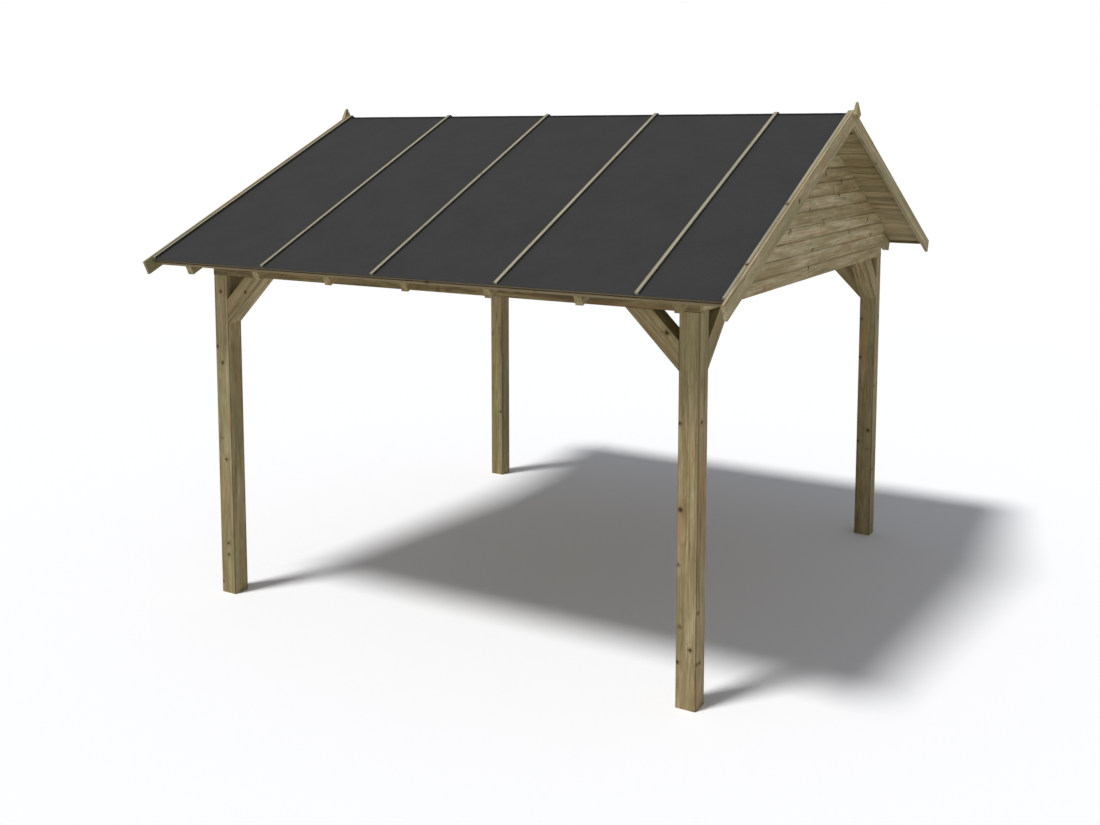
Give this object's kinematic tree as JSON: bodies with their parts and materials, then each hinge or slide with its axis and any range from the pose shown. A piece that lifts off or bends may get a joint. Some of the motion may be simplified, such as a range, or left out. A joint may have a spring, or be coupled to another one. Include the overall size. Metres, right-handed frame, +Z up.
{
  "type": "garden pergola",
  "caption": "Open-sided garden pergola: square timber posts with knee braces carry a double-pitch felted roof with weatherboarded gables, to shade a seating area.",
  "frame": {"origin": "on the ground, below the middle of the roof", "axes": "+X along the ridge towards the right gable, +Y towards the back eave, +Z up; the front eave faces -Y"},
  "size_m": [4.114, 4.2, 3.3091],
  "materials": {
    "post_wood": "planed, pressure-treated softwood",
    "beam_wood": "planed, pressure-treated softwood",
    "brace_wood": "planed, pressure-treated softwood",
    "rafter_wood": "planed, pressure-treated softwood",
    "deck_wood": "planed, pressure-treated softwood",
    "cladding_wood": "planed, pressure-treated softwood",
    "trim_wood": "planed, pressure-treated softwood",
    "roof_felt": "matt sanded bitumen felt"
  },
  "bodies": {
    "root": {"post_front_left": "post_wood", "post_front_right": "post_wood", "post_back_left": "post_wood", "post_back_right": "post_wood", "eave_beam_front": "beam_wood", "eave_beam_back": "beam_wood", "tie_beam_left": "beam_wood", "tie_beam_right": "beam_wood", "brace_eave_front_left": "brace_wood", "brace_eave_front_right": "brace_wood", "brace_eave_back_left": "brace_wood", "brace_eave_back_right": "brace_wood", "brace_gable_front_left": "brace_wood", "brace_gable_front_right": "brace_wood", "brace_gable_back_left": "brace_wood", "brace_gable_back_right": "brace_wood", "ridge_board": "rafter_wood", "rafter_front_1": "rafter_wood", "rafter_front_2": "rafter_wood", "rafter_front_3": "rafter_wood", "rafter_front_4": "rafter_wood", "rafter_front_5": "rafter_wood", "rafter_front_6": "rafter_wood", "rafter_front_7": "rafter_wood", "rafter_back_1": "rafter_wood", "rafter_back_2": "rafter_wood", "rafter_back_3": "rafter_wood", "rafter_back_4": "rafter_wood", "rafter_back_5": "rafter_wood", "rafter_back_6": "rafter_wood", "rafter_back_7": "rafter_wood", "roof_boards_front": "deck_wood", "roof_boards_back": "deck_wood", "eave_strip_front": "trim_wood", "eave_strip_back": "trim_wood", "roof_felt_front": "roof_felt", "roof_felt_back": "roof_felt", "felt_battens_front": "trim_wood", "felt_battens_back": "trim_wood", "bargeboard_front_left": "trim_wood", "bargeboard_front_right": "trim_wood", "bargeboard_back_left": "trim_wood", "bargeboard_back_right": "trim_wood", "gable_cladding_left": "cladding_wood", "gable_cladding_right": "cladding_wood", "finial_left": "trim_wood", "finial_right": "trim_wood"}
  },
  "joints": []
}
